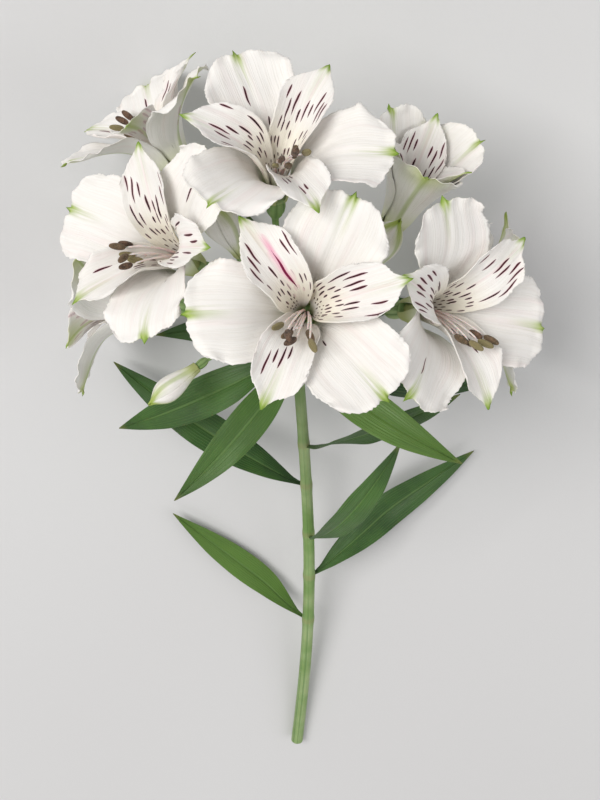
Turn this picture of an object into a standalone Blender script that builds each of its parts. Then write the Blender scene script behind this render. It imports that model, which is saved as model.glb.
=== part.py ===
"""Cut stem of a white alstroemeria, lying on a table.

The stem runs along +Y and rises from its cut end, which touches the table, to the knot under the
umbel. A whorl of leaves and the rays spring from that knot. Each ray ends in an ovary with one bloom
of six tepals, six stamens and a style on it, and some rays carry a bud on a side stalk.
The cut end, the lowest tepal of three blooms and one leaf lie flat on the table.
"""

import math
import random

import bmesh
import bpy
from mathutils import Matrix, Quaternion, Vector

MM = 0.001
UP = Vector((0, 0, 1))

# Driving dimensions of the stem
STEM_LENGTH = 240 * MM
STEM_BASE_RADIUS = 2.9 * MM
STEM_TOP_RADIUS = 2.1 * MM
STEM_BOW = 7 * MM
STEM_RISE_POWER = 1.4
STEM_SINK = 0.35 * MM
STEM_RINGS = 22
KNOT_HEIGHT = 50 * MM
KNOT_RADIUS = 4.3 * MM

# Clearance between touching pieces, and the thickness of what is thin
GAP = 0.3 * MM
TEPAL_THICKNESS = 0.72 * MM
LEAF_THICKNESS = 0.65 * MM

# Rays, and the ovaries at their ends: shares of an ovary's length with its girth there
RAY_RADIUS = 1.05 * MM
RAY_STEPS = 5
OVARY_LENGTH = 10 * MM
OVARY_RADIUS = 3.3 * MM
OVARY_PROFILE = [(0.0, 0.42), (0.16, 0.68), (0.36, 0.93), (0.60, 1.0), (0.82, 0.93), (1.0, 0.80)]

# The collar that the six tepals grow from, the height of their roots in it,
# and how far each tepal's one margin lies outside the other, so that neighbours pass each other
COLLAR_FOOT_RADIUS = 3.2 * MM
COLLAR_TOP_RADIUS = 4.3 * MM
COLLAR_HEIGHT = 2.4 * MM
ROOT_HEIGHT = 0.6 * MM
TEPAL_WRAP = 0.8 * MM

# Stamens: a disc inside the collar, filaments on a ring on it, fanned out so that none crosses another,
# and anthers, whose profile gives shares of their length with the girth there
STAMEN_DISC_RADIUS = 1.45 * MM
STAMEN_DISC_HEIGHT = 1.0 * MM
FILAMENT_RADIUS = 0.45 * MM
FILAMENT_RING = 0.95 * MM
FILAMENT_LENGTHS = (27 * MM, 34 * MM)
FILAMENT_SPREAD = 1.4 * MM
FILAMENT_FAN = (1.5, 2.5, 0.5, -0.5, -2.5, -1.5)
FILAMENT_SAG = 0.36
STYLE_LENGTH = 25 * MM
ANTHER_LENGTH = 5.6 * MM
ANTHER_WIDTH = 2.3 * MM
ANTHER_PROFILE = [(0.12, 0.8), (0.55, 1.0), (1.0, 0.25)]

BUD_RADIUS = 6.0 * MM

# Leaves lose their slope when they come this near the table, and tepals are flattened this far under it
LANDING_HEIGHT = 7 * MM
PRESS = 0.2 * MM

# One tepal, seen from its root to its tip. Leans are angles from the flower's axis, in degrees.
OUTER_TEPAL = dict(
    length=53 * MM, width=32 * MM, root_width=4.6 * MM, root_radius=3.7 * MM, widest=0.72, taper=1.55,
    shoulder=0.66, drop=0.15, lean=(14, 79), cup=0.75, ruffle=1.3 * MM, columns=4, rows=6,
)
INNER_TEPAL = dict(
    length=50 * MM, width=21.5 * MM, root_width=2.6 * MM, root_radius=1.9 * MM, widest=0.66, taper=1.9,
    shoulder=0.42, drop=0.17, lean=(10, 71), cup=1.25, ruffle=0.8 * MM, columns=4, rows=5,
)
# The flower's six tepals: form, place round the axis from the top one, and what is added to the tip's lean
TEPALS = [
    (OUTER_TEPAL, 0, -3),
    (OUTER_TEPAL, 119, 2),
    (OUTER_TEPAL, -119, 2),
    (INNER_TEPAL, 57, 0),
    (INNER_TEPAL, -57, 0),
    (INNER_TEPAL, 180, 5),
]

# Blooms: the ray's azimuth from +Y towards +X and its elevation, the way that the flower faces,
# the ray's length, the turn of the flower about its axis, how far it is open, and its size
BLOOMS = {
    "bloom_1": dict(ray=(7, 58), faces=(2, 63), length=48, turn=27, open=1.0, size=1.0),
    "bloom_2": dict(ray=(-43, 24), faces=(-41, 42), length=53, turn=23, open=0.95, size=0.98),
    "bloom_3": dict(ray=(60, 31), faces=(64, 49), length=50, turn=9, open=1.0, size=1.0),
    "bloom_4": dict(ray=(-6, 22), faces=(4, 36), length=65, turn=-7, open=0.95, size=0.96),
    "bloom_5": dict(ray=(-82, -18), faces=(-84, 0), length=50, turn=28, open=0.95, size=1.0),
    "bloom_6": dict(ray=(82, -18), faces=(84, 0), length=50, turn=-28, open=0.95, size=1.0),
    "bloom_7": dict(ray=(-36, -17), faces=(-33, 4), length=69, turn=11, open=0.9, size=0.95),
    "bloom_8": dict(ray=(38, 6), faces=(19, 24), length=52, turn=14, open=0.35, size=0.92),
}

# Buds: the bloom whose ray carries it, how far along that ray it leaves, its own direction, and sizes
BUDS = {
    "bud_1": dict(on="bloom_4", share=0.3, ray=(-23, 31), stalk=37, length=28, size=0.9),
    "bud_2": dict(on="bloom_3", share=0.5, ray=(27, 25), stalk=22, length=27, size=0.86),
    "bud_3": dict(on="bloom_5", share=0.4, ray=(-120, 30), stalk=26, length=22, size=0.7),
}

# Leaves: distance from the cut end, angle round the stem from the top, lean from the stem's axis,
# length, width, and how much they turn down over their length, in degrees
LEAVES = {
    "whorl_leaf_1": dict(at=234, round=35, lean=96, length=74, width=15, droop=42),
    "whorl_leaf_2": dict(at=232, round=88, lean=112, length=80, width=16, droop=26),
    "whorl_leaf_3": dict(at=230, round=140, lean=100, length=72, width=15, droop=20),
    "whorl_leaf_4": dict(at=232, round=196, lean=66, length=66, width=13, droop=10),
    "whorl_leaf_5": dict(at=230, round=232, lean=104, length=76, width=15, droop=22),
    "whorl_leaf_6": dict(at=233, round=282, lean=114, length=82, width=16, droop=30),
    "whorl_leaf_7": dict(at=231, round=330, lean=102, length=70, width=14, droop=46),
    "stem_leaf_1": dict(at=188, round=48, lean=56, length=76, width=14, droop=30),
    "stem_leaf_2": dict(at=166, round=262, lean=58, length=94, width=16, droop=30),
    "stem_leaf_3": dict(at=138, round=20, lean=50, length=84, width=14, droop=64),
    "stem_leaf_4": dict(at=112, round=112, lean=56, length=90, width=15, droop=22),
    "stem_leaf_5": dict(at=84, round=248, lean=54, length=78, width=13, droop=20),
}
LEAF_ROWS = 8
LEAF_FOOT_WIDTH = 2.0 * MM

SEED = 5


# Materials

def finish(name, colour, roughness):
    material = bpy.data.materials.new(name)
    material.use_nodes = True
    shader = material.node_tree.nodes["Principled BSDF"]
    shader.inputs["Base Color"].default_value = (*colour, 1)
    shader.inputs["Roughness"].default_value = roughness
    shader.inputs["Metallic"].default_value = 0
    return material


# Objects and Booleans

def object_from(name, shape, collection, material=None):
    """A new object from a bmesh, which is freed."""
    mesh = bpy.data.meshes.new(name)
    bmesh.ops.recalc_face_normals(shape, faces=shape.faces)
    shape.to_mesh(mesh)
    shape.free()
    if material:
        mesh.materials.append(material)
    thing = bpy.data.objects.new(name, mesh)
    collection.objects.link(thing)
    return thing


def combine(base, others, helpers, operation):
    """Applies one Boolean of base with the helper objects, keeps base's material and removes the helpers."""
    material = base.data.materials[0]
    bpy.context.view_layer.update()
    join = base.modifiers.new("join", "BOOLEAN")
    join.operation = operation
    join.solver = "MANIFOLD"
    join.operand_type = "COLLECTION"
    join.collection = helpers
    graph = bpy.context.evaluated_depsgraph_get()
    joined = bpy.data.meshes.new_from_object(base.evaluated_get(graph))
    base.modifiers.clear()
    base.data = joined
    joined.materials.clear()
    joined.materials.append(material)
    for other in others:
        bpy.data.objects.remove(other)


def tube(name, points, radii, resolution, collection, material=None):
    """A mesh tube along the points, with a radius at each, made from a bevelled curve."""
    curve = bpy.data.curves.new(name, "CURVE")
    curve.dimensions = "3D"
    curve.bevel_depth = 1.0
    curve.bevel_resolution = resolution
    curve.use_fill_caps = True
    curve.twist_mode = "MINIMUM"
    spline = curve.splines.new("POLY")
    spline.points.add(len(points) - 1)
    for knot, place, radius in zip(spline.points, points, radii):
        knot.co = (*place, 1)
        knot.radius = radius
    guide = bpy.data.objects.new(name + "_curve", curve)
    collection.objects.link(guide)
    bpy.context.view_layer.update()
    graph = bpy.context.evaluated_depsgraph_get()
    mesh = bpy.data.meshes.new_from_object(guide.evaluated_get(graph))
    bpy.data.objects.remove(guide)
    shape = bmesh.new()
    shape.from_mesh(mesh)
    bmesh.ops.remove_doubles(shape, verts=shape.verts, dist=0.01 * MM)
    return object_from(name, shape, collection, material)


# The table's surface

def cut_at_table(thing, helpers):
    """What would be under the table's surface is cut off, which leaves a flat spot to rest on."""
    shape = bmesh.new()
    bmesh.ops.create_cube(shape, size=1)
    table = object_from("table", shape, helpers)
    table.scale = (1, 1, 0.1)
    table.location = (0, STEM_LENGTH, -0.05)
    combine(thing, [table], helpers, "DIFFERENCE")


def press_on_table(shape, matrix, lowest):
    """Vertices of a bmesh that lie below the height lowest in the world are lifted to it."""
    back = matrix.inverted()
    for vertex in shape.verts:
        place = matrix @ vertex.co
        if place.z < lowest:
            place.z = lowest
            vertex.co = back @ place


# Directions and curves

def direction(azimuth, elevation):
    """Unit vector; azimuth runs from +Y towards +X, elevation above the table, in degrees."""
    a, e = math.radians(azimuth), math.radians(elevation)
    return Vector((math.sin(a) * math.cos(e), math.cos(a) * math.cos(e), math.sin(e)))


def smooth(low, high, x):
    t = min(1.0, max(0.0, (x - low) / (high - low)))
    return t * t * (3 - 2 * t)


def bezier(a, b, c, t):
    return a * (1 - t) ** 2 + b * 2 * t * (1 - t) + c * t ** 2


def stem_point(distance):
    """The stem's centreline at a distance from its cut end along +Y."""
    t = distance / STEM_LENGTH
    low = STEM_BASE_RADIUS - STEM_SINK
    return Vector((
        STEM_BOW * math.sin(math.pi * t) * (1 - 0.4 * t),
        distance,
        low + (KNOT_HEIGHT - low) * t ** STEM_RISE_POWER,
    ))


def stem_heading(distance):
    step = 1 * MM
    return (stem_point(distance + step) - stem_point(distance - step)).normalized()


def stem_radius(distance):
    """Thinner towards the top, with a slight swelling where each leaf grows."""
    t = distance / STEM_LENGTH
    swell = sum(math.exp(-((distance / MM - leaf["at"]) / 2.5) ** 2) for leaf in LEAVES.values())
    return (STEM_BASE_RADIUS + (STEM_TOP_RADIUS - STEM_BASE_RADIUS) * t) * (1 + 0.12 * min(1, swell))


KNOT = stem_point(STEM_LENGTH)
KNOT_HEADING = stem_heading(STEM_LENGTH - 2 * MM)


# The stem: a tapered tube, and the round knot that bears the umbel

def make_stem(collection, helpers, material):
    distances = [STEM_LENGTH * i / STEM_RINGS for i in range(STEM_RINGS + 1)]
    stem = tube("stem", [stem_point(d) for d in distances], [stem_radius(d) for d in distances],
                2, collection, material)
    shape = bmesh.new()
    bmesh.ops.create_uvsphere(shape, u_segments=12, v_segments=8, radius=KNOT_RADIUS,
                              matrix=Matrix.Translation(KNOT))
    knot = object_from("knot", shape, helpers)
    combine(stem, [knot], helpers, "UNION")
    cut_at_table(stem, helpers)


# Rays with their ovaries, and the side stalks of the buds

def stalk_line(start, away, end, faces, size, steps):
    """Points and radii of a stalk that curves from start to the ovary whose top is at end."""
    foot = end - faces * OVARY_LENGTH * size
    reach = (foot - start).length
    bend = (foot - faces * reach * 0.4).lerp(start + away * reach * 0.45, 0.35)
    points = [bezier(start, bend, foot, i / steps) for i in range(steps)]
    radii = [RAY_RADIUS * (1.0 + 0.12 * i / steps) for i in range(steps)]
    for share, girth in OVARY_PROFILE:
        points.append(foot.lerp(end, share))
        radii.append(OVARY_RADIUS * size * girth)
    return points, radii


def bloom_place(bloom):
    """Top of the ovary, and the way that the flower faces."""
    return KNOT + direction(*bloom["ray"]) * bloom["length"] * MM, direction(*bloom["faces"])


def ray_of(bloom):
    end, faces = bloom_place(bloom)
    away = (direction(*bloom["ray"]) * 0.8 + KNOT_HEADING * 0.2).normalized()
    return stalk_line(KNOT + away * (KNOT_RADIUS + GAP), away, end, faces, bloom["size"], RAY_STEPS)


def make_rays(collection, material):
    for name, bloom in BLOOMS.items():
        points, radii = ray_of(bloom)
        tube(name.replace("bloom", "ray"), points, radii, 1, collection, material)


def bud_place(bud):
    """The side stalk's root beside its ray, the bud's direction, and the bud's foot."""
    points, radii = ray_of(BLOOMS[bud["on"]])
    place = bud["share"] * RAY_STEPS
    low = int(place)
    root = points[low].lerp(points[low + 1], place - low)
    along = (points[low + 1] - points[low]).normalized()
    heading = direction(*bud["ray"])
    side = (heading - along * heading.dot(along)).normalized()
    rim = RAY_RADIUS * math.sqrt(1 - heading.dot(side) ** 2)
    root = root + side * (radii[low] + rim + GAP)
    return root, heading, root + (heading * 0.85 + side * 0.15) * bud["stalk"] * MM


def make_buds(collection, green, white):
    for name, bud in BUDS.items():
        root, heading, foot = bud_place(bud)
        points, radii = stalk_line(root, (foot - root).normalized(), foot, heading, 0.75 * bud["size"], 4)
        tube(name + "_stalk", points, radii, 1, collection, green)
        make_bud(name, bud, foot, heading, collection, white)


def bud_girth(height):
    """The closed bud's girth: a narrow foot, widest past the middle, then drawn in to a blunt point."""
    belly = 0.42 + 0.58 * smooth(0, 0.6, height)
    return belly * math.cos(math.pi / 2 * smooth(0.55, 1.05, height)) ** 0.8


def make_bud(name, bud, foot, heading, collection, white):
    """A closed bud with three low ridges where the outer tepals are widest."""
    length, radius = bud["length"] * MM, BUD_RADIUS * bud["size"]
    shape = bmesh.new()
    bmesh.ops.create_uvsphere(shape, u_segments=12, v_segments=9, radius=1)
    for vertex in shape.verts:
        height = (vertex.co.z + 1) / 2
        turn = math.atan2(vertex.co.y, vertex.co.x)
        out = radius * bud_girth(height) * (1 + 0.07 * math.cos(3 * turn))
        if abs(vertex.co.z) > 0.999:
            out = 0
        vertex.co = (out * math.cos(turn), out * math.sin(turn), height * length)
    closed = object_from(name, shape, collection, white)
    closed.rotation_mode = "QUATERNION"
    closed.rotation_quaternion = heading.to_track_quat("Z", "Y")
    closed.location = foot + heading * GAP


# Blooms

def midrib(form, lean, share):
    """Distance from the flower's axis, height and lean of the midrib at a share of its length."""
    steps = 20
    radius, height = form["root_radius"], ROOT_HEIGHT
    first, last = math.radians(lean[0]), math.radians(lean[1])
    step = share * form["length"] / steps
    for i in range(steps):
        angle = first + (last - first) * smooth(0.08, 0.85, share * (i + 0.5) / steps)
        radius += math.sin(angle) * step
        height += math.cos(angle) * step
    return radius, height, first + (last - first) * smooth(0.08, 0.85, share)


def half_width(form, share):
    """Half the tepal's width: a narrow claw that broadens to the widest place and rounds off above it."""
    root, full = form["root_width"] / 2, form["width"] / 2
    widest = form["widest"]
    if share < widest:
        return root + (full - root) * math.sin(math.pi / 2 * share / widest) ** form["taper"]
    over = (share - widest) / (1 - widest)
    return full * (form["shoulder"] + (1 - form["shoulder"]) * math.sqrt(max(0, 1 - over ** 2.2)))


def tepal_point(form, lean, across, along, wave):
    """A place on the tepal: across runs from -1 to 1, along from 0 at the root to 1 at the tip."""
    share = along * (1 - form["drop"] * across ** 2 * along ** 3)
    radius, height, angle = midrib(form, lean, share)
    side = across * half_width(form, along)
    cup = (1 + (form["cup"] - 1) * smooth(0.1, 0.6, along)) / max(radius, 2 * MM)
    turn = side * cup
    lift = (1 - math.cos(turn)) / cup
    reflex = smooth(0.55, 1.0, along) * abs(across) ** 3
    lift += reflex * form["ruffle"] * (math.sin(wave + 9.0 * along * math.copysign(1, across)) - 0.8)
    lift += TEPAL_WRAP * across * smooth(0.0, 0.25, along)
    outward = radius - math.cos(angle) * lift
    return Vector((math.sin(turn) / cup, outward, height + math.sin(angle) * lift))


def make_tepal(name, form, lean, turn, wave, matrix, helpers):
    shape = bmesh.new()
    bmesh.ops.create_grid(shape, x_segments=form["columns"], y_segments=form["rows"], size=1)
    spin = Matrix.Rotation(-math.radians(turn), 3, "Z")
    for vertex in shape.verts:
        across, along = vertex.co.x, (vertex.co.y + 1) / 2
        vertex.co = spin @ tepal_point(form, lean, across, along, wave)
    press_on_table(shape, matrix, -PRESS)
    bmesh.ops.triangulate(shape, faces=shape.faces)
    tepal = object_from(name, shape, helpers)
    tepal.matrix_world = matrix
    shell = tepal.modifiers.new("thickness", "SOLIDIFY")
    shell.thickness = TEPAL_THICKNESS
    shell.offset = 0
    return tepal


def bloom_matrix(bloom):
    """From the flower's own axes, with +Z out of its mouth and +Y to its top tepal, to the world."""
    end, faces = bloom_place(bloom)
    top = (KNOT_HEADING - faces * KNOT_HEADING.dot(faces)).normalized()
    axes = Matrix((top.cross(faces), top, faces)).transposed()
    turned = axes @ Matrix.Rotation(-math.radians(bloom["turn"]), 3, "Z")
    return Matrix.Translation(end + faces * GAP) @ turned.to_4x4() @ Matrix.Scale(bloom["size"], 4)


def ring(name, matrix, foot, height, radius1, radius2, segments, collection, material):
    """A short cone or cylinder round the flower's axis."""
    shape = bmesh.new()
    bmesh.ops.create_cone(shape, cap_ends=True, segments=segments, radius1=radius1, radius2=radius2,
                          depth=height, matrix=Matrix.Translation((0, 0, foot + height / 2)))
    thing = object_from(name, shape, collection, material)
    thing.matrix_world = matrix
    return thing


def tepal_leans(form, extra, openness, draw):
    """How the tepal leans at its root and tip: a flower that isn't open yet keeps them near its axis."""
    low, high = form["lean"]
    return (low * (0.35 + 0.65 * openness), 4 + (high + extra + draw.uniform(-4, 4) - 4) * openness)


def make_bloom(name, bloom, collection, helpers, material):
    """Six tepals on one collar; the three outer ones are broader than the three inner ones."""
    draw = random.Random(f"{SEED}{name}")
    matrix = bloom_matrix(bloom)
    collar = ring(name + "_tepals", matrix, 0, COLLAR_HEIGHT, COLLAR_FOOT_RADIUS, COLLAR_TOP_RADIUS, 12,
                  collection, material)
    tepals = []
    for number, (form, turn, extra) in enumerate(TEPALS):
        lean = tepal_leans(form, extra, bloom["open"], draw)
        tepals.append(make_tepal(f"{name}_tepal_{number}", form, lean, turn + draw.uniform(-3, 3),
                                 draw.uniform(0, 6), matrix, helpers))
    combine(collar, tepals, helpers, "UNION")
    cut_at_table(collar, helpers)


def filament_line(turn, reach, spread, sag, foot):
    """A filament in the flower's own axes: up from the ring, then sagging to the lower tepal."""
    start = Vector((math.sin(turn), math.cos(turn), 0)) * FILAMENT_RING
    points = []
    for i in range(4):
        t = i / 3
        points.append(Vector((
            start.x * (1 - 0.4 * t) + spread * t ** 1.5,
            start.y * (1 - 0.5 * t) - reach * sag * t ** 2.4,
            foot + reach * t * (1 - 0.14 * t),
        )))
    return points


def stamen(number, bloom, sag, foot, draw):
    """Points and radii of one stamen: its filament, then its anther, which is bent a little out of line."""
    turn = 2 * math.pi * (number + 0.5) / 6
    spread = FILAMENT_FAN[number] * FILAMENT_SPREAD * (0.1 + 0.9 * bloom["open"])
    reach = draw.uniform(*FILAMENT_LENGTHS) * (0.7 + 0.3 * bloom["open"])
    points = filament_line(turn, reach, spread, sag, foot)
    radii = [FILAMENT_RADIUS] * len(points)
    hinge = draw.choice([Vector((1, 0, 0)), Vector((0, 1, 0))])
    bend = Quaternion(hinge, math.radians(draw.uniform(-25, 25)))
    tip, way = points[-1], bend @ (points[-1] - points[-2]).normalized()
    for share, girth in ANTHER_PROFILE:
        points.append(tip + way * share * ANTHER_LENGTH)
        radii.append(girth * ANTHER_WIDTH / 2)
    return points, radii


def make_stamens(name, bloom, collection, helpers, material):
    """Six stamens and the style, on one disc in the bottom of the flower."""
    draw = random.Random(f"{SEED}{name}stamens")
    matrix = bloom_matrix(bloom)
    low = COLLAR_HEIGHT + GAP
    disc = ring(name + "_stamens", matrix, low, STAMEN_DISC_HEIGHT, STAMEN_DISC_RADIUS, STAMEN_DISC_RADIUS, 8,
                collection, material)
    sag = FILAMENT_SAG * bloom["open"] ** 2
    foot = low + 0.4 * STAMEN_DISC_HEIGHT
    lines = [stamen(i, bloom, sag, foot, draw) for i in range(6)]
    style = [Vector((0, 0.7 * (place.y - FILAMENT_RING), place.z))
             for place in filament_line(0, STYLE_LENGTH, 0, sag, foot)]
    lines.append((style, [FILAMENT_RADIUS] * len(style)))
    threads = [tube("thread", points, radii, 0, helpers) for points, radii in lines]
    for thread in threads:
        thread.matrix_world = matrix
    combine(disc, threads, helpers, "UNION")


# Leaves

def leaf_rows(leaf):
    """Centre, sideways direction and upper side's direction for each row of a leaf, root to tip."""
    at = leaf["at"] * MM
    axis = stem_heading(at)
    top = (UP - axis * axis.dot(UP)).normalized()
    outward = Quaternion(axis, math.radians(leaf["round"])) @ top
    lean = math.radians(leaf["lean"])
    heading = outward * math.sin(lean) + axis * math.cos(lean)
    place = stem_point(at) + outward * (stem_radius(at) + GAP + LEAF_THICKNESS * 0.6)
    sideways = outward.cross(axis).normalized()
    rows = [(place.copy(), sideways.copy(), sideways.cross(heading).normalized())]
    steps = 4 * LEAF_ROWS
    turn = math.radians(leaf["droop"]) / steps
    for i in range(1, steps + 1):
        fall = heading.cross(-UP)
        if fall.length > 0.05:
            heading = Quaternion(fall.normalized(), min(turn, fall.length)) @ heading
        if place.z < LANDING_HEIGHT and heading.z < 0:
            heading.z *= 0.6
        heading.normalize()
        place = place + heading * leaf["length"] * MM / steps
        level = heading.cross(UP).normalized()
        if level.dot(sideways) < 0:
            level = -level
        sideways = sideways.lerp(level, 0.07)
        sideways = (sideways - heading * sideways.dot(heading)).normalized()
        if i % 4 == 0:
            rows.append((place.copy(), sideways.copy(), sideways.cross(heading).normalized()))
    return rows


def leaf_half_width(leaf, along):
    """Lance-shaped: widest before the middle, narrow at the foot, pointed at the tip."""
    blade = leaf["width"] * MM / 2 * math.sin(math.pi * min(1, along) ** 0.85) ** 0.9
    return max(blade, LEAF_FOOT_WIDTH / 2 * (1 - 0.35 * along))


def make_leaf(name, leaf, collection, material):
    """A blade folded a little along its midrib, with a waved edge."""
    rows = leaf_rows(leaf)
    wave = random.Random(f"{SEED}{name}").uniform(0, 6)
    shape = bmesh.new()
    bmesh.ops.create_grid(shape, x_segments=2, y_segments=LEAF_ROWS, size=1)
    for vertex in shape.verts:
        across, along = vertex.co.x, (vertex.co.y + 1) / 2
        centre, sideways, upper = rows[round(along * LEAF_ROWS)]
        if upper.z < 0:
            upper = -upper
        half = leaf_half_width(leaf, along)
        fold = 0.16 * abs(across) * half
        ripple = 0.09 * half * across ** 2 * math.sin(wave + 10 * along + 2 * across)
        vertex.co = centre + sideways * across * half + upper * (fold + ripple)
    press_on_table(shape, Matrix.Identity(4), LEAF_THICKNESS / 2)
    bmesh.ops.triangulate(shape, faces=shape.faces)
    blade = object_from(name, shape, collection, material)
    shell = blade.modifiers.new("thickness", "SOLIDIFY")
    shell.thickness = LEAF_THICKNESS
    shell.offset = 0


# The whole part

def world_box(objects):
    bpy.context.view_layer.update()
    graph = bpy.context.evaluated_depsgraph_get()
    low, high = Vector((1, 1, 1)), Vector((-1, -1, -1))
    for thing in objects:
        ready = thing.evaluated_get(graph)
        for vertex in ready.data.vertices:
            place = ready.matrix_world @ vertex.co
            low = Vector(map(min, low, place))
            high = Vector(map(max, high, place))
    return low, high


def main():
    for thing in list(bpy.data.objects):
        bpy.data.objects.remove(thing)
    scene = bpy.context.scene
    collection = bpy.data.collections.new("alstroemeria_stem")
    helpers = bpy.data.collections.new("helpers")
    scene.collection.children.link(collection)
    scene.collection.children.link(helpers)

    white = finish("tepal_white", (0.87, 0.85, 0.81), 0.55)
    stalk_green = finish("stalk_green", (0.22, 0.36, 0.12), 0.5)
    leaf_green = finish("leaf_green", (0.06, 0.15, 0.05), 0.45)
    anther_brown = finish("anther_brown", (0.24, 0.16, 0.11), 0.8)

    make_stem(collection, helpers, stalk_green)
    make_rays(collection, stalk_green)
    make_buds(collection, stalk_green, white)
    for name, bloom in BLOOMS.items():
        make_bloom(name, bloom, collection, helpers, white)
        make_stamens(name, bloom, collection, helpers, anther_brown)
    for name, leaf in LEAVES.items():
        make_leaf(name, leaf, collection, leaf_green)

    # Everything hangs on one empty, which puts the origin under the middle of the whole stem
    low, high = world_box(collection.objects)
    middle = bpy.data.objects.new("middle", None)
    for thing in list(collection.objects):
        thing.parent = middle
    collection.objects.link(middle)
    middle.location = (-(low.x + high.x) / 2, -(low.y + high.y) / 2, -low.z)


main()
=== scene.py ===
import math
import random

import bpy
import numpy as np
from mathutils import Matrix, Quaternion, Vector


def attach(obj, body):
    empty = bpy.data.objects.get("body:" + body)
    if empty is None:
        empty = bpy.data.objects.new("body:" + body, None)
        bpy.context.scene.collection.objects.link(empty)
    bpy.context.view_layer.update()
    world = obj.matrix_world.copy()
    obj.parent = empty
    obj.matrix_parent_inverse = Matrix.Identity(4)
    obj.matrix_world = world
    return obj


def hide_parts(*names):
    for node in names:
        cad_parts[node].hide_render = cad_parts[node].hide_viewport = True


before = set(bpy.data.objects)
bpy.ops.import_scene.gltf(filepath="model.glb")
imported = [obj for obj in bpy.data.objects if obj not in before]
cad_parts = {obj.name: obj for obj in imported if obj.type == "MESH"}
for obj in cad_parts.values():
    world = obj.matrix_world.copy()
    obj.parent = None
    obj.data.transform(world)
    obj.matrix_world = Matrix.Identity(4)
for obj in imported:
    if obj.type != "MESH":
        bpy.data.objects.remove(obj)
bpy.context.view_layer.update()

# The stem. It is one round green shoot with a pale waxy skin and fine ribs, cut straight across at its foot.
# It swells a little where each leaf grows, and ends in the round knot that bears the umbel.
# Its cut end touches the table, and it rises from there to the knot.

MM = 0.001
UP = Vector((0, 0, 1))
CUT_END = np.array((-1.5489, -174.0839, 0.0)) * MM
STEM_LENGTH = 240 * MM
STEM_BASE_RADIUS = 2.9 * MM
STEM_TOP_RADIUS = 2.1 * MM
STEM_BOW = 7 * MM
STEM_RISE_POWER = 1.4
STEM_SINK = 0.35 * MM
STEM_SIDES = 28
LEAF_NODES = (84, 112, 138, 166, 188, 230, 232, 234)
NODE_LENGTH = 2.5
NODE_SWELL = 0.12
CUT_ROWS = (0, 0.02, 0.04, 0.25, 1.0)
CUT_SHARES = (0.0, 0.6, 0.95, 1.0)
SHOOT_ROWS = np.arange(2.5, 233, 1.5)
KNOT_ROWS = np.arange(233.5, 244.3, 0.45)
RIB_RELIEF = 0.015
KNOT_HEIGHT = 50 * MM
KNOT_RADIUS = 4.3 * MM
PALE_GREEN = (0.30, 0.40, 0.18, 1)
FRESH_GREEN = (0.16, 0.28, 0.075, 1)
# Dark green for the stem's ribs, and painted shade in the grooves of each ovary.
RIB_GREEN_AND_GROOVE_SHADE = (0.085, 0.17, 0.04, 1)
SCAR_BROWN = (0.30, 0.25, 0.12, 1)
PITH_PALE = (0.62, 0.66, 0.42, 1)
PITH_RING = (0.30, 0.38, 0.15, 1)
RIB_RING = 3.4
RIB_RUN = 2.5


def smooth(low, high, x):
    t = np.clip((x - low) / (high - low), 0, 1)
    return t * t * (3 - 2 * t)


def stem_point(distance):
    """The stem's centreline at a distance from its cut end along +Y."""
    t = distance / STEM_LENGTH
    low = STEM_BASE_RADIUS - STEM_SINK
    return Vector((
        STEM_BOW * math.sin(math.pi * t) * (1 - 0.4 * t),
        distance,
        low + (KNOT_HEIGHT - low) * t ** STEM_RISE_POWER,
    ))


def stem_heading(distance):
    step = 1 * MM
    return (stem_point(distance + step) - stem_point(distance - step)).normalized()


def node_swell(distance):
    return min(1, sum(math.exp(-((distance / MM - at) / NODE_LENGTH) ** 2) for at in LEAF_NODES))


def stem_radius(distance):
    t = distance / STEM_LENGTH
    plain = STEM_BASE_RADIUS + (STEM_TOP_RADIUS - STEM_BASE_RADIUS) * t
    return plain * (1 + NODE_SWELL * node_swell(distance))


def shoot_radius(distance):
    """The stem's radius, run softly into the round knot at its top."""
    off = min(1, abs(distance - STEM_LENGTH) / KNOT_RADIUS)
    ball = KNOT_RADIUS * math.sqrt(1 - off ** 2)
    shoot = stem_radius(distance) if distance < STEM_LENGTH else ball
    return (shoot ** 4 + ball ** 4) ** 0.25 if distance < STEM_LENGTH else max(ball, 0.01 * MM)


def vertices(piece, what="co"):
    """Each vertex's place, or its normal, as a row of an array."""
    values = np.empty(len(piece.data.vertices) * 3)
    piece.data.vertices.foreach_get(what, values)
    return values.reshape(-1, 3)


def sheet(name, columns, rows):
    """A flat grid, with each vertex's place across it, from -1 to 1, and along it, from 0 to 1."""
    bpy.ops.object.select_all(action="DESELECT")
    bpy.ops.mesh.primitive_grid_add(x_subdivisions=columns, y_subdivisions=rows, size=2)
    piece = bpy.context.object
    piece.name = name
    piece.data.name = name
    flat = vertices(piece)
    return piece, flat[:, 0], (flat[:, 1] + 1) / 2


def lay(piece, points):
    """The vertices go to points that are given from the foot of the cut end."""
    piece.data.vertices.foreach_set("co", (points + CUT_END).ravel())
    piece.data.update()


def mark(piece, name, values):
    """Keeps a number, or three, at each vertex, for the finish to read. One value may serve them all."""
    values = np.asarray(values, np.float32)
    count = len(piece.data.vertices)
    three = values.shape[-1:] == (3,)
    layer = piece.data.attributes.new(name, "FLOAT_VECTOR" if three else "FLOAT", "POINT")
    every = np.broadcast_to(values, (count, 3) if three else (count,))
    layer.data.foreach_set("vector" if three else "value", every.ravel())


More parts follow.
